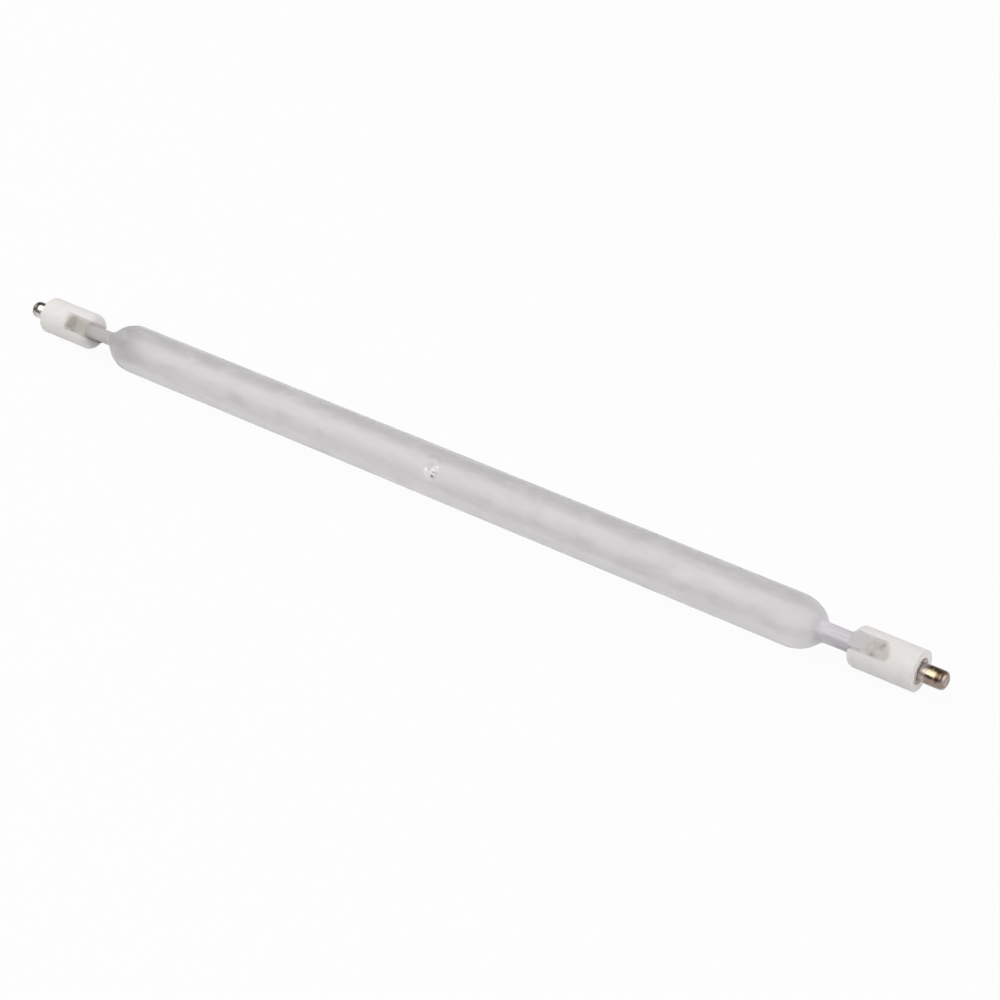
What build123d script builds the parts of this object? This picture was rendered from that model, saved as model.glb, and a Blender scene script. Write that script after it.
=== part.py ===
from build123d import *
import math
import os

# Halogen heater lamp, in millimetres. The lamp's axis is X and its middle is the origin.
# The tip-off and the left cap's slot face between -Y and +Z, and the right end is turned a little from them.
facing_angle = 45.0
right_turn = 11.5

# Quartz tube and its domed ends
tube_diameter = 10.0
tube_straight = 160.0
dome_length = 7.0

# Tip-off, the melted nib that closes the tube near mid-length
tip_station = 1.2
tip_height = 1.3
tip_diameter = 2.2
tip_round = 0.75
tip_flare = 1.15
tip_root = 0.6

# Flat pinch seals, pressed from the tube's ends
neck_length = 5.0
seal_width = 6.6
seal_thickness = 3.0
seal_corner = 0.7
seal_in_cap = 6.0
flare_radius = 0.9
panel_depth = 0.35
panel_rim = 1.4
panel_corner = 0.8

# Slotted ceramic caps
cap_length = 13.0
cap_diameter = 7.7
cap_round = 1.4
cap_edge = 0.2
slot_gap = 0.3
slot_depth = 7.2
slot_corner = 1.1

# Contact pins, each with a thicker root that seats in its cap
pin_diameter = 3.5
pin_reach = 5.0
pin_round = 0.9
pin_recess = 1.5
bore_gap = 0.65
root_gap = 0.04

# Lead wires and the cement that holds the seals
wire_diameter = 0.9
wire_grip = 2.5
wire_gap = 0.05
cement_length = 3.4
cement_recess = 0.22

# Radii and stations along the axis, on the right-hand end
tube_radius = tube_diameter / 2
cap_radius = cap_diameter / 2
pin_radius = pin_diameter / 2
bore_radius = pin_radius + bore_gap
wire_radius = wire_diameter / 2
slot_width = seal_thickness + 2 * slot_gap
tube_end = tube_straight / 2
dome_end = tube_end + dome_length
cap_inner = dome_end + neck_length
cap_outer = cap_inner + cap_length
slot_end = cap_inner + slot_depth
seal_end = cap_inner + seal_in_cap
pin_tip = cap_outer + pin_reach
dome_drop = (dome_length**2 - tube_radius**2) / (2 * tube_radius)
dome_radius = tube_radius + dome_drop
apex_angle = math.degrees(math.atan2(dome_drop, dome_length))
corner_reach = math.hypot(seal_width / 2 - seal_corner, seal_thickness / 2 - seal_corner) + seal_corner
panel_start = dome_end + panel_rim
panel_end = seal_end - panel_rim
tip_radius = tip_diameter / 2
nib_base = tube_radius + tip_height - tip_round
nib_foot = tip_radius + tip_flare
nib_root = tube_radius - tip_root


def direction(angle):
    """Unit vector across the lamp's axis, at an angle above -Y."""
    return Vector(0, -math.cos(math.radians(angle)), math.sin(math.radians(angle)))


def section(station, facing):
    """Plane across the lamp's axis, with its x direction towards the facing side."""
    return Plane(origin=(station, 0, 0), x_dir=facing, z_dir=along)


def axial(facing):
    """Plane through the lamp's axis, with its y direction towards the facing side."""
    return Plane(origin=(0, 0, 0), x_dir=along, z_dir=along.cross(facing))


def flat_plane(facing):
    """Plane through the lamp's axis that looks at the facing side."""
    return Plane(origin=(0, 0, 0), x_dir=along, z_dir=facing)


# Directions: along the axis, out of the tip-off and the left slot, out of the right slot
along = Vector(1, 0, 0)
left_facing = direction(facing_angle)
right_facing = direction(facing_angle + right_turn)
left_axis = Axis((0, 0, 0), left_facing)
tip_axis = Axis((tip_station, 0, 0), left_facing)


def slot_outline(start):
    """Sketch of the right cap's slot from a station to its rounded end, seen into the slot."""
    with BuildSketch(flat_plane(right_facing)) as outline:
        with Locations(((start + slot_end) / 2, 0)):
            Rectangle(slot_end - start, slot_width)
        fillet(outline.vertices().group_by(Axis.X)[-1], slot_corner)
    return outline.sketch


def seal_profile(half, end):
    """Half sketch of a seal beside the axis, its edge curved out until it is tangent to the dome."""
    reach = math.sqrt((dome_radius + flare_radius) ** 2 - (half + flare_radius + dome_drop) ** 2)
    share = dome_radius / (dome_radius + flare_radius)
    start = end * (tube_end + reach)
    touch = end * (tube_end + share * reach)
    height = share * (half + flare_radius + dome_drop) - dome_drop
    with BuildSketch() as profile:
        with BuildLine():
            RadiusArc((start, half), (touch, height), -end * flare_radius)
            Polyline((touch, height), (end * tube_end, height), (end * tube_end, 0), (end * seal_end, 0))
            Polyline((end * seal_end, 0), (end * seal_end, half), (start, half))
        make_face()
    return profile.sketch


def flat_seal(end, facing):
    """Flat seal of one end, flared into the dome across its width, its thickness and its corners."""
    with BuildPart() as seal:
        with BuildSketch(axial(facing)):
            add(seal_profile(seal_width / 2, end))
            mirror(about=Plane.XZ)
        extrude(amount=tube_radius, both=True)
        with BuildSketch(flat_plane(facing)):
            add(seal_profile(seal_thickness / 2, end))
            mirror(about=Plane.XZ)
        extrude(amount=tube_radius, both=True, mode=Mode.INTERSECT)
        with BuildSketch(axial(facing)):
            add(seal_profile(corner_reach, end))
        revolve(axis=Axis.X, mode=Mode.INTERSECT)
    return seal.part


# Flat seals of the two ends
right_seal = flat_seal(1, right_facing)
left_seal = flat_seal(-1, left_facing)

# Quartz envelope: the tube with its domes, a flat seal with pressed panels at each end, and the tip-off
with BuildPart() as quartz_envelope:
    with BuildSketch(axial(left_facing)):
        with BuildLine():
            dome = CenterArc((tube_end, -dome_drop), dome_radius, apex_angle, 90 - apex_angle)
            Line(dome @ 1, (0, tube_radius))
            mirror(about=Plane.YZ)
            Line((-dome_end, 0), (dome_end, 0))
        make_face()
    revolve(axis=Axis.X)
    add(right_seal)
    add(left_seal)
    for end, facing in ((1, right_facing), (-1, left_facing)):
        for side in (1, -1):
            with BuildSketch(axial(facing).offset(side * seal_thickness / 2)):
                with Locations((end * (panel_start + panel_end) / 2, 0)):
                    RectangleRounded(panel_end - panel_start, seal_width - 2 * panel_rim, panel_corner)
            extrude(amount=-side * panel_depth, mode=Mode.SUBTRACT)
    with BuildSketch(axial(left_facing)):
        with BuildLine():
            nib = Spline(
                (tip_station + nib_foot, nib_root),
                (tip_station + tip_radius, nib_base),
                (tip_station, nib_base + tip_round),
                tangents=((-1, 0), (-1, 0)),
            )
            Polyline(nib @ 1, (tip_station, nib_root), nib @ 0)
        make_face()
    revolve(axis=tip_axis)

# Ceramic cap: a cylinder with a rounded inner end, a slot for the seal and a bore for the pin
with BuildPart() as ceramic_cap:
    with BuildSketch(axial(right_facing)) as cap_profile:
        with BuildLine():
            Polyline(
                (cap_inner, 0),
                (cap_inner, cap_radius),
                (cap_outer, cap_radius),
                (cap_outer, 0),
                close=True,
            )
        make_face()
        inner_corner, outer_corner = cap_profile.vertices().group_by(Axis.Y)[-1].sort_by(Axis.X)
        fillet(inner_corner, cap_round)
        chamfer(outer_corner, cap_edge)
    revolve(axis=Axis.X)
    extrude(slot_outline(cap_inner - cap_round), cap_radius, both=True, mode=Mode.SUBTRACT)
    with BuildSketch(section(slot_end, right_facing)):
        Circle(bore_radius)
    extrude(amount=cap_outer - slot_end, mode=Mode.SUBTRACT)

# Contact pin: turned, with a round-nosed shank, a thicker root in the bore and a hole for the wire
with BuildPart() as contact_pin:
    with BuildSketch(axial(right_facing)) as pin_profile:
        with BuildLine():
            Polyline(
                (slot_end + wire_grip, 0),
                (slot_end + wire_grip, wire_radius + wire_gap),
                (slot_end, wire_radius + wire_gap),
                (slot_end, bore_radius - root_gap),
                (cap_outer - pin_recess, bore_radius - root_gap),
                (cap_outer - pin_recess, pin_radius),
                (pin_tip, pin_radius),
                (pin_tip, 0),
                close=True,
            )
        make_face()
        nose_corner = pin_profile.vertices().group_by(Axis.X)[-1].sort_by(Axis.Y)[-1]
        fillet(nose_corner, pin_round)
    revolve(axis=Axis.X)

# Lead wire: from the end of the seal into the back of the pin
with BuildPart() as lead_wire:
    with BuildSketch(section(seal_end, right_facing)):
        Circle(wire_radius)
    extrude(amount=slot_end + wire_grip - seal_end)

# Cement: fills the closed end of the slot round the seal and the wire, a little below the cap's surface
with BuildPart() as seal_cement:
    extrude(slot_outline(slot_end - cement_length), cap_radius, both=True)
    with BuildSketch(section(slot_end - cement_length, right_facing)):
        Circle(cap_radius - cement_recess)
    extrude(amount=cement_length, mode=Mode.INTERSECT)
    add(quartz_envelope.part, mode=Mode.SUBTRACT)
    add(lead_wire.part, mode=Mode.SUBTRACT)

# Files: the envelope once, and each end piece on the right and, turned back and round, on the left
os.makedirs("parts", exist_ok=True)
quartz_envelope.part.label = "quartz_envelope"
export_step(quartz_envelope.part, "parts/quartz_envelope.step")
end_pieces = {
    "ceramic_cap": ceramic_cap,
    "contact_pin": contact_pin,
    "lead_wire": lead_wire,
    "seal_cement": seal_cement,
}
for name, piece in end_pieces.items():
    with BuildPart() as twin:
        add(piece.part.rotate(Axis.X, right_turn).rotate(left_axis, 180))
    piece.part.label = f"{name}_right"
    export_step(piece.part, f"parts/{name}_right.step")
    twin.part.label = f"{name}_left"
    export_step(twin.part, f"parts/{name}_left.step")
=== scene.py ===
import math

import bpy
import numpy as np
from mathutils import Matrix, Vector, noise

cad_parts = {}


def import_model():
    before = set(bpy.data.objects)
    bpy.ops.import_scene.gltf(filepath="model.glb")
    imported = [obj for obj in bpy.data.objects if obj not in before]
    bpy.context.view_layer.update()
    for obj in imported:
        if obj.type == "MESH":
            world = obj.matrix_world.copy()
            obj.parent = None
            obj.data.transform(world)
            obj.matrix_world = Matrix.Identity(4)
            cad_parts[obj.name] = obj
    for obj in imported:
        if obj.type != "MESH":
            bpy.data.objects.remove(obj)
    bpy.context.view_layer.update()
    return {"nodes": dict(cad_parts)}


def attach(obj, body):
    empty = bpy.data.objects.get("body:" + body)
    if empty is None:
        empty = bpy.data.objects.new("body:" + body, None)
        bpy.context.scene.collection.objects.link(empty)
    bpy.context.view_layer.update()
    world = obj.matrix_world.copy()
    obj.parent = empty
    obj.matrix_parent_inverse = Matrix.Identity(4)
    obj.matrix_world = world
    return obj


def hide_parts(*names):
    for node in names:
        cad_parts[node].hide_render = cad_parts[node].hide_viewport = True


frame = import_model()
nodes = frame["nodes"]
scene = bpy.context.scene

# A millimetre in metres
MM = 0.001

# Camera of the photograph, in the lamp's frame, in metres
CAMERA_PLACE = Vector((0.24064, -0.28089, 0.27126))
CAMERA_RIGHT = Vector((0.80110, 0.59657, -0.04838))
CAMERA_UP = Vector((-0.32900, 0.50644, 0.79704))
CAMERA_BACK = Vector((0.50000, -0.62258, 0.60198))
CLIP_NEAR = 0.01
CLIP_FAR = 50.0
LENS_MM = 85.43
SENSOR_MM = 36.0

# Studio, in metres: floor under the lamp, dim room, pale backdrop and right wall
FLOOR_Z = -0.005
FLOOR_REACH = 6.0
FLOOR_GLOW = 0.945
FLOOR_GREY = (0.70, 0.70, 0.70, 1)
FLOOR_PALE = (0.72, 0.72, 0.72, 1)
LOW_FILL_Z = FLOOR_Z + 0.0002
ROOM = 0.38
BACKDROP = 1.0
RIGHT_WALL = 0.9

# The lamp's sizes in millimetres, as its solids have them, with the seals a little inside theirs.
# Angles are in degrees above -Y.
LEFT_FACING = 45.0
RIGHT_FACING = 56.5
TUBE_RADIUS = 5.0
TUBE_END = 80.0
DOME_LENGTH = 7.0
DOME_RADIUS = 7.4
DOME_DROP = 2.4
WALL = 1.0
CAVITY_END = 85.9
SEAL_HALF_WIDTH = 3.2
SEAL_HALF_THICKNESS = 1.4
SEAL_CORNER = 0.75
SEAL_END = 98.0
FLARE = 1.1
PANEL_CENTRE = 92.5
PANEL_HALF_LENGTH = 4.1
PANEL_HALF_WIDTH = 1.9
PANEL_CORNER = 0.8
PANEL_DEPTH = 0.35
PANEL_SLOPE = 0.25
TIP_STATION = 1.2
TIP_FOOT = 2.25
TIP_ROOT = 4.4
TIP_TOP = 6.3
CAP_RADIUS = 3.85
CAP_INNER = 92.0
CAP_ROUND = 1.4
CAP_OUTER = 105.0
SLOT_START = 90.0
SLOT_END = 99.2
SLOT_HALF_WIDTH = 1.8
SLOT_CORNER = 1.1
BORE_RADIUS = 2.4
PIN_RADIUS = 1.75

# Tip-off: how its nib leans, from a height up, its melted pit, and its blend into the tube.
# Places are along the lamp and across it, from the nib's middle.
TIP_CURVE = 1.15
TIP_LEAN = (-0.3, -0.25)
TIP_LEAN_START = 4.9
TIP_LEAN_RISE = 1.4
TIP_UNEVEN = 0.09
TIP_BLEND = 0.3
TIP_REACH = 2.9
TIP_REACH_RADIANS = 0.52
PIT = (0.95, -1.05)
PIT_RADIUS = 0.34
PIT_DEPTH = 0.28

# Waviness of the drawn quartz, deeper on the pressed necks
WAVE_DEPTH = 0.03
NECK_WAVE_DEPTH = 0.1

# Cement beads: a film over the seal, a block at the slot's end and a smear past it.
# Spans are where something sets in, along the lamp or across the slot.
BEAD_STATIONS = (CAP_INNER + 0.1, SLOT_END + 1.6)
BEAD_WIDTHS = (-2.9, 2.3)
BEAD_STEP = 0.09
BEAD_FOOT = 0.25
FILM_HEIGHT = 3.23
FILM_RISE = 0.25
FILM_RISE_SPAN = (92.2, 94.8)
FILM_CROWN = 0.06
FILM_DIP = 0.03
FILM_WALL_SPAN = (1.75, 1.3)
BLOCK_DIP = 0.06
BLOCK_SPAN = (95.0, 97.2)
GROOVE_DEPTH = 0.9
GROOVE_SOFT = 0.4
GROOVE_SPAN = (-1.32, -1.5)
DARK_SPOT_DEPTH = 0.15
HIDDEN_DEPTH = 0.7
SLOT_RIM_SPAN = (0.45, 0.25)
SMEAR_HEIGHT = 0.735
SMEAR_PLACE = (SLOT_END - 0.4, -0.35)
SMEAR_HALF = (1.55, 2.15)
SMEAR_RIM_SPAN = (1.0, 0.9)
STAIN_SPAN = (97.0, 98.0)
STAIN_RIM_SPAN = (0.95, 0.5)
FADE_HALF_WIDTH = 1.75
FADE_CORNER = 0.9
MOUTH_SPAN = (96.2, 93.6)

# Cement in the gaps beside the seals and round the pins' roots
GAP_HEIGHTS = (-3.25, 3.21, 0.15)
GAP_WIDTHS = (1.25, 1.9, 0.1)
GAP_REAR = 96.2
ROOT_OVERLAP = 0.06
ROOT_RECESS = 0.2
ROOT_DEPTH = 1.6


def facing(angle):
    """Direction across the lamp's axis, at an angle above -Y."""
    a = math.radians(angle)
    return (0.0, -math.cos(a), math.sin(a))


def across(angle):
    """Direction square to the axis and to the facing direction, towards the upper side."""
    a = math.radians(angle)
    return (0.0, math.sin(a), math.cos(a))


class Nodes:
    """Shorthand for building one node tree."""

    # The colour mix's sockets, whose names are shared by its other kinds
    MIX_A, MIX_B, MIX_RESULT = 6, 7, 2

    def __init__(self, name=None, owner=None):
        data = owner or bpy.data.materials.new(name)
        data.use_nodes = True
        self.tree = data.node_tree
        if owner:
            self.tree.nodes.clear()
        else:
            self.material = data
            self.shader = self.tree.nodes["Principled BSDF"]

    def new(self, kind, **settings):
        node = self.tree.nodes.new(kind)
        for key, value in settings.items():
            setattr(node, key, value)
        return node

    def link(self, source, target):
        self.tree.links.new(source, target)

    def feed(self, socket, value):
        if isinstance(value, bpy.types.NodeSocket):
            self.link(value, socket)
        else:
            socket.default_value = value

    def math(self, operation, a, b=0.0):
        node = self.new("ShaderNodeMath", operation=operation)
        self.feed(node.inputs[0], a)
        self.feed(node.inputs[1], b)
        return node.outputs[0]

    def all(self, *masks):
        """Product of masks."""
        result = masks[0]
        for mask in masks[1:]:
            result = self.math("MULTIPLY", result, mask)
        return result

    def most(self, *masks):
        """Largest of masks."""
        result = masks[0]
        for mask in masks[1:]:
            result = self.math("MAXIMUM", result, mask)
        return result

    def ramp(self, value, low, high, start=0.0, end=1.0):
        """Smoothly from start to end as the value goes from low to high."""
        node = self.new("ShaderNodeMapRange", interpolation_type="SMOOTHSTEP")
        keys = ("Value", "From Min", "From Max", "To Min", "To Max")
        for key, number in zip(keys, (value, low, high, start, end)):
            self.feed(node.inputs[key], number)
        return node.outputs["Result"]

    def blend(self, mask, start, end):
        """Smoothly from start to end as a mask goes from 0 to 1."""
        return self.ramp(mask, 0.0, 1.0, start, end)

    def near(self, value, centre, reach, soft):
        """1 within reach of the centre, falling to 0 over soft."""
        away = self.math("ABSOLUTE", self.math("SUBTRACT", value, centre))
        return self.ramp(away, reach, reach + soft, 1.0, 0.0)

    def mix(self, factor, a, b):
        node = self.new("ShaderNodeMix", data_type="RGBA")
        self.feed(node.inputs["Factor"], factor)
        self.feed(node.inputs[self.MIX_A], a)
        self.feed(node.inputs[self.MIX_B], b)
        return node.outputs[self.MIX_RESULT]

    def place(self, stretch=(1.0, 1.0, 1.0)):
        """Object coordinates in millimetres, stretched."""
        node = self.new("ShaderNodeMapping")
        node.inputs["Scale"].default_value = [s / MM for s in stretch]
        self.link(self.new("ShaderNodeTexCoord").outputs["Object"], node.inputs["Vector"])
        return node.outputs["Vector"]

    def along(self, vector, direction):
        """How far the vector goes along a direction."""
        node = self.new("ShaderNodeVectorMath", operation="DOT_PRODUCT")
        self.link(vector, node.inputs[0])
        node.inputs[1].default_value = direction
        return node.outputs["Value"]

    def toward(self, place, angle, low, high, start=0.0, end=1.0):
        """Smoothly from start to end over distances towards the facing direction of an angle."""
        return self.ramp(self.along(place, facing(angle)), low, high, start, end)

    def line(self, place, angle, reach, soft):
        """1 within reach of a line along the tube at an angle, falling to 0 over soft."""
        beside = self.near(self.along(place, across(angle)), 0.0, reach, soft)
        return self.all(beside, self.toward(place, angle, 2.0, 4.0))

    def right_half(self, x):
        """0 on the lamp's left half and 1 on its right half, from the station."""
        return self.ramp(x, -1.0, 1.0)

    def noise(self, vector, scale, detail=3.0, rough=0.5):
        node = self.new("ShaderNodeTexNoise")
        self.link(vector, node.inputs["Vector"])
        node.inputs["Scale"].default_value = scale
        node.inputs["Detail"].default_value = detail
        node.inputs["Roughness"].default_value = rough
        return node.outputs["Fac"]

    def split(self, vector):
        node = self.new("ShaderNodeSeparateXYZ")
        self.link(vector, node.inputs[0])
        return node.outputs

    def mark(self, name):
        """A value that the mesh carries at its points, 0 where it has none."""
        return self.new("ShaderNodeAttribute", attribute_name=name).outputs["Fac"]

    def spot(self, position, place, reach, soft):
        """1 within reach of a place on a flat map, falling to 0 over soft."""
        squares = []
        for value, centre in zip(position, place):
            squares.append(self.math("POWER", self.math("SUBTRACT", value, centre), 2.0))
        away = self.math("POWER", self.math("ADD", *squares), 0.5)
        return self.ramp(away, reach, reach + soft, 1.0, 0.0)

    def spots(self, position, spots):
        """1 at any of some spots, each with its place, its reach and its softness."""
        return self.most(*[self.spot(position, *spot) for spot in spots])

    def bevel(self, radius):
        """Normals rounded at edges, over a radius in millimetres."""
        node = self.new("ShaderNodeBevel", samples=4)
        node.inputs["Radius"].default_value = radius * MM
        return node.outputs["Normal"]

    def bump(self, height, distance, strength, normal=None):
        """Normals of a height, which is worth a distance in millimetres."""
        node = self.new("ShaderNodeBump")
        node.inputs["Strength"].default_value = strength
        node.inputs["Distance"].default_value = distance * MM
        self.link(height, node.inputs["Height"])
        if normal is not None:
            self.link(normal, node.inputs["Normal"])
        return node.outputs["Normal"]

    def set(self, **values):
        for key, value in values.items():
            self.feed(self.shader.inputs[key.replace("_", " ")], value)


# Frosted quartz: the tube, its pressed ends and the melted tip-off.
# Spots have a place, a reach and a softness.
QUARTZ_IOR = 1.46
TINT_SPAN = (-15.0, 30.0)
SOLID_SPAN = (83.5, 87.0)
HAZE_SPAN = (-85.0, -78.5)
LEFT_SEAL_SPAN = (84.8, 86.4)
RIGHT_SEAL_SPAN = (86.6, 87.8)
LEFT_TAN_SPAN = (-93.5, -90.0)
FLAT_SPAN = (1.15, 1.4)
# Tube: its tint left and right, painted shade on its top, painted light, painted shade, smudges that
# also paint shade, and clouds
TUBE_LEFT = (0.874, 0.859, 0.868, 1)
TUBE_RIGHT = (0.855, 0.844, 0.853, 1)
TUBE_TOP_SHADE = (0.74, 0.725, 0.735, 1)
TUBE_PAINTED_LIGHT = (0.97, 0.957, 0.965, 1)
TUBE_SHADE = (0.72, 0.705, 0.715, 1)
TUBE_SMUDGE_AND_SHADE = (0.735, 0.72, 0.725, 1)
TUBE_CLOUD = (0.955, 0.938, 0.95, 1)
DOME_GREY = (0.68, 0.655, 0.685, 1)
NECK_BROWN = (0.45, 0.425, 0.395, 1)
NECK_TAN = (0.55, 0.53, 0.51, 1)
NECK_LILAC = (0.71, 0.685, 0.72, 1)
NECK_FLAT_FOIL_AND_SHADE = (0.50, 0.48, 0.51, 1)
NECK_STREAK = (0.52, 0.50, 0.515, 1)
# Tip-off colours: painted shade round its foot, painted highlights, and painted shade in its pit
TIP_FOOT_SHADE = (0.60, 0.585, 0.59, 1)
TIP_PAINTED_HIGHLIGHT = (0.93, 0.92, 0.93, 1)
TIP_PIT_SHADE = (0.14, 0.125, 0.125, 1)
GLOSSY_SPOT = ((0.0, 0.0), 1.5, 0.6)
# Ring of painted shade round the tip-off's foot
FOOT_SHADE_OUTER_SPOT = ((-0.15, 0.95), 1.95, 0.35)
FOOT_SHADE_INNER_SPOT = ((-0.15, 0.95), 1.25, 0.45)
# Spots of painted highlight on the tip-off
TIP_HIGHLIGHT_SPOTS = (
    ((-0.1, -0.4), 0.2, 0.45),
    ((0.6, -1.9), 0.1, 0.25),
    ((1.75, -1.15), 0.05, 0.2),
    ((1.3, 0.9), 0.12, 0.4),
    ((-1.1, -2.0), 0.1, 0.4),
)
# Spots of painted shade in the tip-off's pit and a crease beside it
TIP_SHADE_SPOTS = ((PIT, 0.12, 0.24), ((1.15, -0.25), 0.02, 0.26))


def tube_colour(m, place, x, clouds):
    """Colour of the frosted tube: painted shade along its top, its underside and a line across its
    middle, painted light along its back and a low line, smudges that also deepen painted shade on
    its front, and clouds.
    """
    rightward = m.ramp(x, *TINT_SPAN)
    smudges = m.noise(m.place((0.42, 1.0, 1.0)), 0.42, 3.0, 0.5)
    front = m.line(place, 20.0, 0.8, 1.6)
    top = m.toward(place, 90.0, 4.45, 4.95, 0.0, 0.95)
    back_light = m.toward(place, 150.0, 3.7, 4.6, 0.0, 0.8)
    under_shade = m.toward(place, -70.0, 3.6, 4.4, 0.0, 0.7)
    low = m.all(m.line(place, -16.0, 0.7, 1.5), 0.75)
    middle = m.all(m.line(place, 17.0, 0.35, 1.0), m.blend(rightward, 0.2, 0.5))
    # Smudges, laid mostly on a line across the front, where they also deepen painted shade
    smudged_and_shaded = m.all(m.ramp(smudges, 0.45, 0.68), m.blend(front, 0.4, 0.9))
    cloudy = m.ramp(clouds, 0.46, 0.68, 0.0, 0.7)
    base = m.mix(rightward, TUBE_LEFT, TUBE_RIGHT)
    # Painted shade along the top, painted light along the back, painted shade underneath, painted
    # light on a low line and painted shade on a line across the middle
    base = m.mix(top, base, TUBE_TOP_SHADE)
    base = m.mix(back_light, base, TUBE_PAINTED_LIGHT)
    base = m.mix(under_shade, base, TUBE_SHADE)
    base = m.mix(low, base, TUBE_PAINTED_LIGHT)
    base = m.mix(middle, base, TUBE_SHADE)
    base = m.mix(smudged_and_shaded, base, TUBE_SMUDGE_AND_SHADE)
    return m.mix(cloudy, base, TUBE_CLOUD)


def neck_colour(m, place, x, right, streaks):
    """Colour of the pressed necks and seals, darker on their flats, for the foil inside them and as
    painted shade.
    """
    flats = []
    for angle in (LEFT_FACING, RIGHT_FACING):
        beside = m.math("ABSOLUTE", m.along(place, across(angle)))
        flats.append(m.ramp(beside, *FLAT_SPAN))
    brown = m.mix(m.ramp(x, *LEFT_TAN_SPAN), NECK_BROWN, NECK_TAN)
    neck = m.mix(right, brown, NECK_LILAC)
    # Flats darker, partly for the foil inside and partly as painted shade
    neck = m.mix(m.all(m.blend(right, *flats), 0.7), neck, NECK_FLAT_FOIL_AND_SHADE)
    return m.mix(m.ramp(streaks, 0.4, 0.7, 0.0, 0.45), neck, NECK_STREAK)


def quartz_material():
    m = Nodes("frosted_quartz")
    place = m.place()
    x = m.split(place)["X"]
    away = m.math("ABSOLUTE", x)
    right = m.right_half(x)
    streaks = m.noise(m.place((0.05, 1.0, 1.0)), 2.2, 3.0, 0.6)
    waves = m.noise(m.place((0.35, 1.0, 1.0)), 0.28, 3.0, 0.55)
    clouds = m.noise(m.place((0.45, 1.0, 1.0)), 0.36, 4.0, 0.6)
    grain = m.noise(place, 3.0, 2.0, 0.6)

    # Where the quartz is solid, where it is pressed flat, and where the left dome is hazy
    solid = m.ramp(away, *SOLID_SPAN)
    seal = m.blend(right, m.ramp(away, *LEFT_SEAL_SPAN), m.ramp(away, *RIGHT_SEAL_SPAN))
    haze = m.ramp(x, *HAZE_SPAN, 0.5, 0.0)
    base = tube_colour(m, place, x, clouds)
    base = m.mix(m.all(solid, m.blend(right, 0.35, 0.8)), base, DOME_GREY)
    base = m.mix(seal, base, neck_colour(m, place, x, right, streaks))

    # Tip-off: painted shade in a ring round the upper side of its foot, painted highlights in spots,
    # and painted shade in its pit and a crease beside it
    nib = (m.math("SUBTRACT", x, TIP_STATION), m.along(place, across(LEFT_FACING)))
    front = m.toward(place, LEFT_FACING, 3.0, 4.0)
    glossy = m.all(m.spot(nib, *GLOSSY_SPOT), front)
    # Painted highlights in spots, where the tip-off is also less clear
    tip_highlights = m.all(m.spots(nib, TIP_HIGHLIGHT_SPOTS), front)
    # Painted shade in the pit and a crease beside it
    pit_shade = m.all(m.spots(nib, TIP_SHADE_SPOTS), front)
    # Painted shade in a ring round the upper side of the foot
    ring = m.math("SUBTRACT", m.spot(nib, *FOOT_SHADE_OUTER_SPOT), m.spot(nib, *FOOT_SHADE_INNER_SPOT))
    ring = m.all(ring, m.ramp(nib[1], 1.1, 2.1, 0.0, 0.6), front)
    base = m.mix(ring, base, TIP_FOOT_SHADE)
    base = m.mix(m.all(tip_highlights, 0.75), base, TIP_PAINTED_HIGHLIGHT)
    base = m.mix(pit_shade, base, TIP_PIT_SHADE)

    clear = m.blend(m.most(tip_highlights, pit_shade), 1.0, 0.35)
    clear = m.blend(m.most(solid, haze), clear, 0.22)
    rough = m.blend(seal, m.ramp(clouds, 0.3, 0.7, 0.46, 0.56), 0.3)
    m.set(Base_Color=base, IOR=QUARTZ_IOR, Transmission_Weight=clear)
    m.set(Roughness=m.blend(glossy, rough, 0.2))
    height = m.math("ADD", m.all(grain, 0.5), m.all(streaks, 0.5))
    fine = m.bump(height, 0.05, 0.3)
    m.set(Normal=m.bump(waves, 0.6, 0.15, fine))
    return m.material


# Unglazed ceramic
CERAMIC_PALE = (0.80, 0.777, 0.759, 1)
CERAMIC_GREY = (0.765, 0.740, 0.721, 1)


def ceramic_material():
    m = Nodes("ceramic")
    place = m.place()
    cloud = m.noise(place, 0.5, 4.0, 0.6)
    grain = m.noise(place, 4.0, 3.0, 0.6)
    base = m.mix(m.ramp(cloud, 0.35, 0.7), CERAMIC_PALE, CERAMIC_GREY)
    m.set(Base_Color=base, Roughness=m.ramp(cloud, 0.3, 0.7, 0.55, 0.7))
    m.set(Normal=m.bump(grain, 0.06, 0.3, m.bevel(0.25)))
    return m.material


# Tarnished plating of the pins, the left pin greyer than the right, with a painted highlight, a
# paler painted reflection below and, on the right pin, a painted dark reflection
PIN_SIDE = 50.0
PIN_ROOT_SPAN = (105.9, 106.9)
PIN_HIGHLIGHT_STATION = 107.3
PIN_DARK_REFLECTION_STATION = 108.65
PIN_NOSE_SPAN = (108.8, 109.4)
PIN_DARK_LEFT = (0.075, 0.060, 0.050, 1)
PIN_BROWN = (0.120, 0.076, 0.042, 1)
PIN_BRONZE = (0.230, 0.160, 0.105, 1)
PIN_HIGHLIGHT_LEFT = (0.78, 0.75, 0.70, 1)
PIN_HIGHLIGHT_RIGHT = (0.50, 0.455, 0.31, 1)
PIN_LOW_REFLECTION_LEFT = (0.62, 0.59, 0.56, 1)
PIN_LOW_REFLECTION_RIGHT = (0.29, 0.225, 0.197, 1)
PIN_ROOT = (0.50, 0.43, 0.405, 1)
PIN_NOSE_LILAC = (0.37, 0.295, 0.28, 1)
PIN_NOSE_BROWN = (0.22, 0.16, 0.115, 1)
PIN_DARK_REFLECTION = (0.110, 0.064, 0.030, 1)


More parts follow.
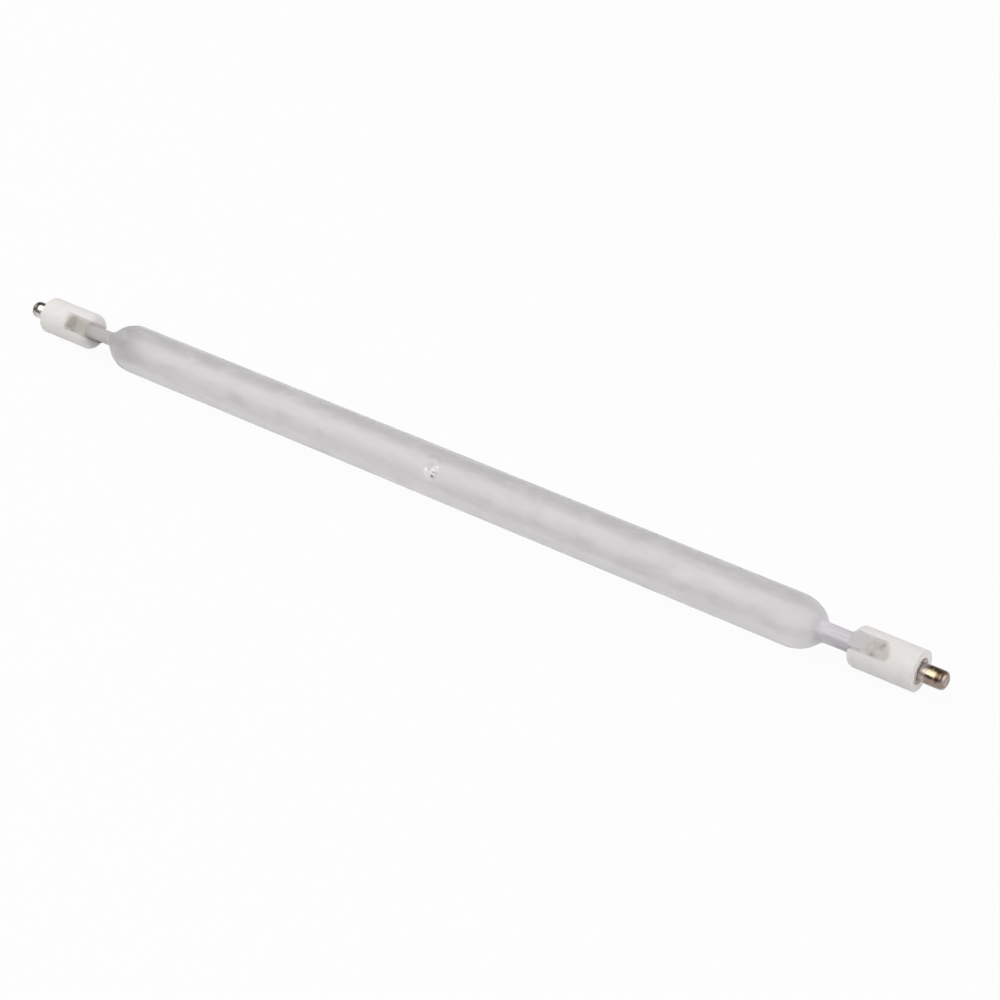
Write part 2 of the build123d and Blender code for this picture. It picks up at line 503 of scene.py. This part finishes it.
def pin_material():
    m = Nodes("pin_metal")
    place = m.place()
    x = m.split(place)["X"]
    away = m.math("ABSOLUTE", x)
    right = m.right_half(x)
    side = m.along(place, across(PIN_SIDE))
    turned = m.noise(m.place((3.0, 0.15, 0.15)), 1.2, 3.0, 0.6)
    stain = m.noise(place, 0.9, 4.0, 0.65)
    ragged = m.math("ADD", side, m.ramp(stain, 0.3, 0.7, -0.35, 0.35))

    # Shank: brown, paler on its lower side as a painted reflection, paler at its root, with a
    # painted highlight on one block
    brown = m.mix(m.ramp(stain, 0.42, 0.66), PIN_BROWN, PIN_BRONZE)
    base = m.mix(right, PIN_DARK_LEFT, brown)
    # Painted reflection: paler on the lower side, mottled
    low = m.all(m.ramp(side, -0.2, -0.8), m.ramp(stain, 0.34, 0.55, 0.3, 1.0))
    base = m.mix(low, base, m.mix(right, PIN_LOW_REFLECTION_LEFT, PIN_LOW_REFLECTION_RIGHT))
    root = m.all(m.ramp(away, *PIN_ROOT_SPAN, 1.0, 0.0), m.ramp(stain, 0.3, 0.55, 0.5, 1.0))
    base = m.mix(root, base, PIN_ROOT)
    # Painted highlight on a block facing up and forward
    pin_highlight = m.all(m.near(away, PIN_HIGHLIGHT_STATION, 0.75, 0.3), m.near(ragged, 0.15, 0.6, 0.25))
    base = m.mix(pin_highlight, base, m.mix(right, PIN_HIGHLIGHT_LEFT, PIN_HIGHLIGHT_RIGHT))

    # Nose, and a painted dark reflection behind it on the right pin's lower side
    nose = m.mix(m.ramp(stain, 0.40, 0.65), PIN_NOSE_LILAC, PIN_NOSE_BROWN)
    base = m.mix(m.ramp(away, *PIN_NOSE_SPAN), base, nose)
    # Painted dark reflection before the nose
    dark_reflection = m.all(m.near(away, PIN_DARK_REFLECTION_STATION, 0.2, 0.2), m.near(ragged, -0.35, 0.35, 0.25))
    dark_reflection = m.all(dark_reflection, right)
    base = m.mix(dark_reflection, base, PIN_DARK_REFLECTION)
    m.set(Base_Color=base, Metallic=1.0, Roughness=m.ramp(stain, 0.35, 0.65, 0.20, 0.34))
    m.set(Normal=m.bump(turned, 0.04, 0.4))
    return m.material


# Drawn wire
WIRE_LIGHT = (0.5, 0.49, 0.48, 1)
WIRE_DARK = (0.38, 0.37, 0.37, 1)


def lead_material():
    m = Nodes("lead_metal")
    drawn = m.noise(m.place((0.1, 2.0, 2.0)), 2.0, 3.0, 0.6)
    base = m.mix(m.ramp(drawn, 0.3, 0.7), WIRE_LIGHT, WIRE_DARK)
    m.set(Base_Color=base, Metallic=1.0, Roughness=m.ramp(drawn, 0.3, 0.7, 0.3, 0.45))
    m.set(Normal=m.bump(drawn, 0.03, 0.3))
    return m.material


# Cement in the slots, browner on the left, and round the pins' roots
CEMENT_PALE_LEFT = (0.43, 0.395, 0.355, 1)
CEMENT_PALE_RIGHT = (0.60, 0.565, 0.53, 1)
CEMENT_DEEP_LEFT = (0.34, 0.305, 0.265, 1)
CEMENT_DEEP_RIGHT = (0.50, 0.465, 0.435, 1)
CEMENT_MOUTH_LEFT = (0.455, 0.43, 0.395, 1)
CEMENT_MOUTH_RIGHT = (0.56, 0.545, 0.55, 1)
CEMENT_PIT = (0.26, 0.22, 0.19, 1)
CEMENT_DARK_SPOT = (0.16, 0.125, 0.105, 1)
CEMENT_FADED = (0.78, 0.76, 0.745, 1)
ROOT_DEEP = (0.46, 0.405, 0.375, 1)
ROOT_PALE = (0.66, 0.615, 0.59, 1)
# Painted shade in the gap between pin and bore, on one side
ROOT_GAP_SHADE = (0.16, 0.115, 0.08, 1)
ROOT_GAP_SHADE_ANGLE = 105.0


def cement_material():
    m = Nodes("cement")
    place = m.place()
    right = m.right_half(m.split(place)["X"])
    lumps = m.noise(place, 0.8, 5.0, 0.65)
    pits = m.noise(place, 2.6, 3.0, 0.6)
    pale = m.mix(right, CEMENT_PALE_LEFT, CEMENT_PALE_RIGHT)
    deep = m.mix(right, CEMENT_DEEP_LEFT, CEMENT_DEEP_RIGHT)
    base = m.mix(m.ramp(lumps, 0.35, 0.65), deep, pale)
    base = m.mix(m.mark("mouth"), base, m.mix(right, CEMENT_MOUTH_LEFT, CEMENT_MOUTH_RIGHT))
    base = m.mix(m.ramp(pits, 0.60, 0.78, 0.0, 0.25), base, CEMENT_PIT)
    # Darker at the dark spots, which lie in small hollows
    base = m.mix(m.mark("dark_spots"), base, CEMENT_DARK_SPOT)
    base = m.mix(m.mark("fade"), base, CEMENT_FADED)
    m.set(Base_Color=base, Roughness=m.ramp(lumps, 0.3, 0.7, 0.6, 0.85))
    m.set(Normal=m.bump(pits, 0.12, 0.5))
    return m.material


def root_material():
    m = Nodes("root_cement")
    place = m.place()
    lumps = m.noise(place, 1.5, 4.0, 0.6)
    base = m.mix(m.ramp(lumps, 0.35, 0.65), ROOT_DEEP, ROOT_PALE)
    # Painted shade on one side, where the gap between pin and bore lies
    base = m.mix(m.toward(place, ROOT_GAP_SHADE_ANGLE, 1.7, 2.1), base, ROOT_GAP_SHADE)
    m.set(Base_Color=base, Roughness=m.ramp(lumps, 0.3, 0.7, 0.35, 0.6))
    m.set(Normal=m.bump(lumps, 0.2, 0.5))
    return m.material


looks = {
    "quartz_envelope": quartz_material(),
    "ceramic_cap": ceramic_material(),
    "contact_pin": pin_material(),
    "lead_wire": lead_material(),
    "seal_cement": cement_material(),
    "root_cement": root_material(),
}
for name, node in nodes.items():
    for prefix, material in looks.items():
        if name.startswith(prefix):
            node.data.materials.clear()
            node.data.materials.append(material)


def piece(name, points, faces, material, marks=None):
    """A smooth mesh from points in millimetres, riding on the lamp.

    marks are values at its points, by name, for its material.
    """
    mesh = bpy.data.meshes.new(name)
    mesh.from_pydata((np.asarray(points) * MM).tolist(), [], faces)
    mesh.validate()
    mesh.polygons.foreach_set("use_smooth", [True] * len(mesh.polygons))
    mesh.materials.append(material)
    for mark, values in (marks or {}).items():
        mesh.attributes.new(mark, "FLOAT", "POINT").data.foreach_set("value", values)
    thing = bpy.data.objects.new(name, mesh)
    scene.collection.objects.link(thing)
    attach(thing, "root")
    return thing


def smoothstep(low, high, value):
    t = np.clip((value - low) / (high - low), 0.0, 1.0)
    return t * t * (3 - 2 * t)


def smooth_max(a, b, reach):
    """The larger of two, blended over a reach where they meet."""
    h = np.clip(reach - np.abs(a - b), 0.0, None) / reach
    return np.maximum(a, b) + h * h * reach / 4


def field(points, scale, seed):
    """Noise from -1 to 1 at points in millimetres."""
    offset = Vector((seed, 0, 0))
    return np.array([noise.noise(Vector((p * scale).tolist()) + offset) for p in points])


def flat_field(u, v, scale, seed):
    """Noise from -1 to 1 on a grid of places on a flat map."""
    points = np.stack([u.ravel(), v.ravel(), np.zeros(u.size)], 1)
    return field(points, scale, seed).reshape(u.shape)


def spread(*spans):
    """Values over spans, each with its start, its stop and its step."""
    return np.concatenate([np.arange(*span) for span in spans])


def grid(rows, columns):
    """Two grids, of the rows' values and of the columns' values."""
    return np.meshgrid(rows, columns, indexing="ij")


def round_axis(x, radius, angle):
    """Points at stations, radii and angles above -Y, in radians."""
    return np.stack([x, -radius * np.cos(angle), radius * np.sin(angle)], -1)


def off_axis(x, height, width, angle):
    """Points at stations, heights towards a facing direction and widths beside it."""
    points = height[..., None] * np.array(facing(angle)) + width[..., None] * np.array(across(angle))
    points[..., 0] = x
    return points


def rounded_box(u, v, half_u, half_v, corner):
    """Distance outside a rounded rectangle, less than zero inside."""
    a = np.abs(u) - half_u + corner
    b = np.abs(v) - half_v + corner
    outside = np.hypot(np.maximum(a, 0), np.maximum(b, 0))
    return outside + np.minimum(np.maximum(a, b), 0) - corner


def slot_box(x, width, end, half_width, corner):
    """Distance outside a slot that runs from before the cap to an end."""
    middle = (SLOT_START + end) / 2
    return rounded_box(x - middle, width, (end - SLOT_START) / 2, half_width, corner)


def dome(x):
    """Radius of the tube and its domes at stations, below zero past the dome's end."""
    past = np.clip(np.abs(x) - TUBE_END, 0.0, None)
    arc = np.sqrt(np.clip(DOME_RADIUS**2 - past**2, 0.0, None))
    return arc - DOME_DROP - np.clip(past - DOME_LENGTH, 0.0, None)


def flat_seal(x, beta):
    """Radius of the flat seal with its pressed panels, at angles from its facing direction."""
    past_corners = 4.5
    low = np.zeros_like(beta)
    high = np.full_like(beta, past_corners)
    along = np.abs(x) - PANEL_CENTRE
    for _ in range(26):
        r = (low + high) / 2
        h = r * np.cos(beta)
        w = r * np.sin(beta)
        panel = rounded_box(along, h, PANEL_HALF_LENGTH, PANEL_HALF_WIDTH, PANEL_CORNER)
        half = SEAL_HALF_THICKNESS - PANEL_DEPTH * smoothstep(0.0, PANEL_SLOPE, -panel)
        outside = rounded_box(h, w, SEAL_HALF_WIDTH, half, SEAL_CORNER) > 0
        high = np.where(outside, r, high)
        low = np.where(outside, low, r)
    return (low + high) / 2


def tip_off(x, beta):
    """Radius of the melted nib's surface, at angles from its facing direction."""
    along = x - TIP_STATION
    r = np.full_like(beta, TUBE_RADIUS)
    uneven = TIP_UNEVEN * flat_field(x, TUBE_RADIUS * beta, 0.9, 7.0)
    for _ in range(12):
        side = r * np.sin(beta)
        lean = np.clip((r * np.cos(beta) - TIP_LEAN_START) / TIP_LEAN_RISE, 0.0, 1.0)
        away = np.hypot(along - TIP_LEAN[0] * lean, side - TIP_LEAN[1] * lean)
        share = np.clip(away / TIP_FOOT, 0.0, 1.0) ** TIP_CURVE
        height = TIP_ROOT + (TIP_TOP - TIP_ROOT) * 0.5 * (1 + np.cos(math.pi * share))
        pit = np.hypot(along - PIT[0], side - PIT[1])
        height = height - PIT_DEPTH * np.exp(-((pit / PIT_RADIUS) ** 2)) + uneven
        r = 0.5 * r + 0.5 * height / np.cos(beta)
    return r


def closed_sleeve(rows, count):
    """Faces of a sleeve of rings, closed at both ends."""
    faces = []
    for i in range(rows - 1):
        here, there = i * count, (i + 1) * count
        for j in range(count):
            k = (j + 1) % count
            faces.append((here + j, there + j, there + k, here + k))
    faces.append(tuple(range(count)))
    faces.append(tuple(reversed(range((rows - 1) * count, rows * count))))
    return faces


def quartz_outside():
    """Points and faces of the tube, its domes, flared flat seals and tip-off.

    The steps are finest where the seals flare and round the tip-off.
    """
    end = spread((TUBE_END, 83.5, 0.5), (83.5, 88.0, 0.12), (88.0, SEAL_END + 0.01, 0.25))
    middle = spread((-78.0, -2.0, 2.0), (-1.7, 4.1, 0.12), (5.0, TUBE_END, 2.0))
    stations = np.concatenate([-end[::-1], middle, end])
    angles = spread((15.0, 75.0, 1.0), (75.0, 375.0, 2.0))
    x, degrees = (values.ravel() for values in grid(stations, angles))
    radians = np.radians(degrees)
    r = dome(x)
    ends = np.abs(x) > TUBE_END
    turn = np.radians(degrees - np.where(x > 0, RIGHT_FACING, LEFT_FACING))
    r[ends] = smooth_max(r[ends], flat_seal(x[ends], turn[ends]), FLARE)
    beta = np.radians((degrees - LEFT_FACING + 180) % 360 - 180)
    nib = (np.abs(x - TIP_STATION) < TIP_REACH) & (np.abs(beta) < TIP_REACH_RADIANS)
    r[nib] = smooth_max(r[nib], tip_off(x[nib], beta[nib]), TIP_BLEND)
    waves = field(round_axis(x, r, radians) * (0.15, 1.0, 1.0), 0.22, 3.0)
    depth = WAVE_DEPTH + NECK_WAVE_DEPTH * smoothstep(84.0, 88.0, np.abs(x))
    r = r - np.clip(0.5 + 0.5 * waves, 0, 1) * depth
    return round_axis(x, r, radians), closed_sleeve(len(stations), len(angles))


def quartz_cavity():
    """Points and faces of the hollow inside the tube, as a closed sleeve."""
    half = np.append(spread((0.0, TUBE_END, 2.0), (TUBE_END, CAVITY_END, 0.25)), CAVITY_END)
    stations = np.concatenate([-half[:0:-1], half])
    angles = np.radians(np.arange(0.0, 360.0, 4.0))
    x, radians = (values.ravel() for values in grid(stations, angles))
    past = np.clip(np.abs(x) - TUBE_END, 0.0, None)
    r = np.sqrt((DOME_RADIUS - WALL) ** 2 - past**2) - DOME_DROP
    return round_axis(x, r, radians), closed_sleeve(len(stations), len(angles))


def quartz_envelope():
    """The outside and, turned inside out, the hollow, in one mesh."""
    points, faces = quartz_outside()
    inside, inside_faces = quartz_cavity()
    for face in inside_faces:
        faces.append(tuple(len(points) + p for p in reversed(face)))
    points = np.concatenate([points, inside])
    thing = piece("quartz_skin", points, faces, looks["quartz_envelope"])
    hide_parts("quartz_envelope")


def grid_block(top, bottom, ring=False, flip=False):
    """Points and faces of a closed block between two grids of points.

    The rows go round where it is a ring, and flip turns its faces outwards on a mirrored grid.
    """
    rows, count = top.shape[:2]
    points = np.concatenate([top.reshape(-1, 3), bottom.reshape(-1, 3)])
    size = rows * count
    faces = []
    for i in range(rows if ring else rows - 1):
        here, there = i * count, (i + 1) % rows * count
        for j in range(count - 1):
            quad = (here + j, there + j, there + j + 1, here + j + 1)
            faces.append(quad)
            faces.append(tuple(size + q for q in reversed(quad)))
    first = [i * count for i in range(rows)]
    last = [i * count + count - 1 for i in range(rows - 1, -1, -1)]
    if ring:
        rims = [first, last]
    else:
        end_row = list(range(size - count + 1, size - 1))
        start_row = list(range(count - 2, 0, -1))
        rims = [first + end_row + last + start_row]
    for rim in rims:
        for p, q in zip(rim, rim[1:] + rim[:1]):
            faces.append((q, p, size + p, size + q))
    if flip:
        faces = [tuple(reversed(face)) for face in faces]
    return points, faces


def cement_bead(name, end, angle, seed, groove, fade, dark_spots):
    """Cement on the seal's edge along the slot, lumpy and smeared round its closed end.

    It lies on one side of a cap. groove is where the open gap below the seal ends. fade is where
    the colour turns into the cap's, how softly, and how far the smear past it is stained. dark_spots
    are dark spots in small hollows, each with its station, its place across and its size.
    """
    x, w = grid(np.arange(*BEAD_STATIONS, BEAD_STEP), np.arange(*BEAD_WIDTHS, BEAD_STEP))
    wide = flat_field(x, w, 0.75, seed)
    lumps = flat_field(x, w, 1.7, seed + 9.0)
    fine = flat_field(x, w, 4.0, seed + 17.0)

    # The cap's surface, and the depth at which the bead is hidden below it
    before_round = np.clip(CAP_INNER + CAP_ROUND - x, 0.0, None)
    radius = CAP_RADIUS - CAP_ROUND + np.sqrt(CAP_ROUND**2 - before_round**2)
    surface = np.sqrt(radius**2 - np.minimum(np.abs(w), radius - 0.1) ** 2)
    hidden = surface - HIDDEN_DEPTH

    # Film over the seal, turning into the block, less the groove and the hollows of the dark spots
    crown = FILM_CROWN * (w / SLOT_HALF_WIDTH) ** 2
    film = FILM_HEIGHT + FILM_RISE * smoothstep(*FILM_RISE_SPAN, x) - crown + 0.03 * lumps
    off_wall = 0.5 * smoothstep(*FILM_WALL_SPAN, np.abs(w))
    film = np.minimum(film, surface - FILM_DIP + off_wall)
    block = surface - BLOCK_DIP + 0.08 * lumps + 0.03 * fine
    filled = film + (block - film) * smoothstep(*BLOCK_SPAN, x + 0.6 * wide)
    open_gap = smoothstep(groove + GROOVE_SOFT, groove - GROOVE_SOFT, x + 0.4 * wide)
    filled = filled - GROOVE_DEPTH * smoothstep(*GROOVE_SPAN, w) * open_gap
    dark = np.zeros_like(x)
    for station, place, size in dark_spots:
        dark = np.maximum(dark, np.exp(-(((x - station) ** 2 + (w - place) ** 2) / size**2)))
    filled = filled - DARK_SPOT_DEPTH * dark
    slot = slot_box(x, w, SLOT_END, SLOT_HALF_WIDTH, SLOT_CORNER)
    h = hidden + (filled - hidden) * smoothstep(*SLOT_RIM_SPAN, slot)

    # Smear on the cap, past the slot's closed end
    along = (x - SMEAR_PLACE[0]) / SMEAR_HALF[0]
    beside = (w - SMEAR_PLACE[1]) / SMEAR_HALF[1]
    smear = np.hypot(along, beside) + 0.3 * wide
    skin = (SMEAR_HEIGHT + 0.02 * lumps) * smoothstep(*SMEAR_RIM_SPAN, smear)
    h = np.maximum(h, hidden + skin - DARK_SPOT_DEPTH * dark)

    # Marks for the material: where it fades, turns grey at the slot's mouth, and has dark spots
    finish, soft, stain = fade
    inside = slot_box(x, w, finish, FADE_HALF_WIDTH, FADE_CORNER) + 0.3 * wide
    stained = stain * smoothstep(*STAIN_RIM_SPAN, smear) * smoothstep(*STAIN_SPAN, x)
    marks = {
        "fade": np.minimum(smoothstep(-soft, soft, inside), 1 - stained),
        "mouth": smoothstep(*MOUTH_SPAN, x + 0.7 * wide),
        "dark_spots": dark * np.clip(0.55 + 0.9 * fine, 0.15, 0.85),
    }
    marks = {key: np.tile(value.ravel(), 2) for key, value in marks.items()}
    top = off_axis(end * x, h, w, angle)
    bottom = off_axis(end * x, hidden - BEAD_FOOT, w, angle)
    points, faces = grid_block(top, bottom, flip=end < 0)
    piece(name, points, faces, looks["seal_cement"], marks)


def gap_cement(name, end, angle, side, depth, fade, seed):
    """Cement between the seal's flat and the slot's wall.

    Its front follows the cap's rounded end at a depth.
    """
    h, w = grid(np.arange(*GAP_HEIGHTS), np.arange(*GAP_WIDTHS))
    lumps = flat_field(h, w, 1.2, seed)
    past = np.clip(np.hypot(h, w) - CAP_RADIUS + CAP_ROUND, 0.0, CAP_ROUND)
    x = CAP_INNER + CAP_ROUND - np.sqrt(CAP_ROUND**2 - past**2) + depth + 0.12 * lumps
    front = off_axis(end * x, h, side * w, angle)
    rear = off_axis(end * GAP_REAR, h, side * w, angle)
    points, faces = grid_block(front, rear, flip=end * side < 0)
    marks = {"mouth": np.ones(len(points)), "fade": np.full(len(points), fade)}
    piece(name, points, faces, looks["seal_cement"], marks)


def root_cement(name, end, seed):
    """Lumps round a pin's root, in the cap's bore."""
    radii = np.linspace(PIN_RADIUS - ROOT_OVERLAP, BORE_RADIUS + ROOT_OVERLAP, 9)
    angles = np.linspace(0.0, 2 * math.pi, 96, endpoint=False)
    a, r = grid(angles, radii)
    lumps = flat_field(np.cos(a) * r, np.sin(a) * r, 1.1, seed)
    fine = flat_field(np.cos(a) * r, np.sin(a) * r, 2.6, seed + 5.0)
    x = CAP_OUTER - ROOT_RECESS + 0.25 * (BORE_RADIUS - r) + 0.3 * lumps + 0.1 * fine
    top = round_axis(end * x, r, a)
    bottom = round_axis(np.full_like(x, end * (CAP_OUTER - ROOT_DEPTH)), r, a)
    points, faces = grid_block(top, bottom, ring=True, flip=end < 0)
    piece(name, points, faces, looks["root_cement"])


quartz_envelope()
cement_bead(
    "cement_bead_right_front", 1, RIGHT_FACING, seed=1.0, groove=94.4, fade=(99.1, 0.45, 1.0),
    dark_spots=((98.3, 0.9, 0.34), (98.1, 0.2, 0.26), (96.9, -1.45, 0.3)),
)
cement_bead(
    "cement_bead_right_back", 1, RIGHT_FACING + 180, seed=21.0, groove=95.0, fade=(98.9, 0.5, 0.8),
    dark_spots=((97.6, -0.5, 0.3), (98.4, 0.7, 0.2)),
)
cement_bead(
    "cement_bead_left_front", -1, LEFT_FACING, seed=41.0, groove=95.6, fade=(97.6, 1.0, 0.0),
    dark_spots=((96.2, 0.9, 0.5), (95.8, 0.1, 0.25), (97.6, -1.5, 0.25)),
)
cement_bead(
    "cement_bead_left_back", -1, LEFT_FACING + 180, seed=61.0, groove=95.0, fade=(98.4, 0.7, 0.5),
    dark_spots=((97.0, 0.4, 0.4), (98.2, -0.9, 0.25)),
)
gap_cement("gap_cement_right_upper", 1, RIGHT_FACING, side=1, depth=0.05, fade=0.5, seed=81.0)
gap_cement("gap_cement_right_lower", 1, RIGHT_FACING, side=-1, depth=0.5, fade=0.0, seed=91.0)
gap_cement("gap_cement_left_upper", -1, LEFT_FACING, side=1, depth=0.05, fade=0.6, seed=101.0)
gap_cement("gap_cement_left_lower", -1, LEFT_FACING, side=-1, depth=0.15, fade=0.35, seed=111.0)
root_cement("root_cement_right", 1, seed=3.0)
root_cement("root_cement_left", -1, seed=33.0)


def floor_material():
    """A grey floor that lights the lamp, and is nearly white where it is seen."""
    m = Nodes("floor")
    rays = m.new("ShaderNodeLightPath").outputs
    seen = m.most(*[rays[f"Is {kind} Ray"] for kind in ("Camera", "Glossy", "Transmission")])
    grain = m.noise(m.place(), 0.02, 2.0)
    m.set(Base_Color=m.mix(grain, FLOOR_GREY, FLOOR_PALE), Roughness=0.9)
    m.set(Specular_IOR_Level=0.0)
    mixed = m.new("ShaderNodeMixShader")
    m.link(m.all(seen, FLOOR_GLOW), mixed.inputs[0])
    m.link(m.shader.outputs[0], mixed.inputs[1])
    m.link(m.new("ShaderNodeEmission").outputs[0], mixed.inputs[2])
    m.link(mixed.outputs[0], m.tree.nodes["Material Output"].inputs["Surface"])
    return m.material


def floor():
    mesh = bpy.data.meshes.new("floor")
    turns = ((-1, -1), (1, -1), (1, 1), (-1, 1))
    corners = [(x * FLOOR_REACH, y * FLOOR_REACH, FLOOR_Z) for x, y in turns]
    mesh.from_pydata(corners, [], [(0, 1, 2, 3)])
    plane = bpy.data.objects.new("floor", mesh)
    scene.collection.objects.link(plane)
    mesh.materials.append(floor_material())


def world():
    """White to the camera; as light, a pale backdrop and right wall, and a dimmer room elsewhere."""
    sky = bpy.data.worlds.new("studio")
    scene.world = sky
    m = Nodes(owner=sky)
    rays = m.new("ShaderNodeLightPath").outputs
    seen = m.most(rays["Is Camera Ray"], rays["Is Transmission Ray"])
    x, y, z = m.split(m.new("ShaderNodeTexCoord").outputs["Generated"])
    backdrop = m.all(m.ramp(y, -0.1, 0.6), m.ramp(z, 0.1, 0.45, 1.0, 0.0))
    room = m.blend(backdrop, m.ramp(x, 0.2, 0.8, ROOM, RIGHT_WALL), BACKDROP)
    background = m.new("ShaderNodeBackground")
    m.link(m.blend(seen, room, 1.0), background.inputs["Strength"])
    output = m.new("ShaderNodeOutputWorld")
    m.link(background.outputs[0], output.inputs["Surface"])


def softbox(name, place, target, width, height, watts):
    light = bpy.data.lights.new(name, "AREA")
    light.shape = "RECTANGLE"
    light.size = width
    light.size_y = height
    light.energy = watts
    lamp = bpy.data.objects.new(name, light)
    lamp.location = place
    lamp.rotation_mode = "QUATERNION"
    lamp.rotation_quaternion = (Vector(target) - Vector(place)).to_track_quat("-Z", "Y")
    lamp.visible_camera = False
    scene.collection.objects.link(lamp)


def photo_camera():
    lens = bpy.data.cameras.new("camera")
    lens.lens = LENS_MM
    lens.sensor_width = SENSOR_MM
    lens.clip_start = CLIP_NEAR
    lens.clip_end = CLIP_FAR
    camera = bpy.data.objects.new("camera", lens)
    axes = Matrix((CAMERA_RIGHT, CAMERA_UP, CAMERA_BACK)).transposed().to_4x4()
    camera.matrix_world = Matrix.Translation(CAMERA_PLACE) @ axes
    scene.collection.objects.link(camera)
    scene.camera = camera


floor()
world()
softbox("key", (-0.72, -0.45, 1.2), (0, 0, 0), width=1.8, height=1.3, watts=17.0)
softbox(
    "low_fill", (-0.01, -0.04, LOW_FILL_Z), (-0.01, -0.04, 1),
    width=0.26, height=0.08, watts=0.003,
)
softbox("right", (1.3, 0.2, 0.65), (0.1, 0, 0), width=1.6, height=1.2, watts=8.0)
photo_camera()
scene.view_settings.view_transform = "Standard"
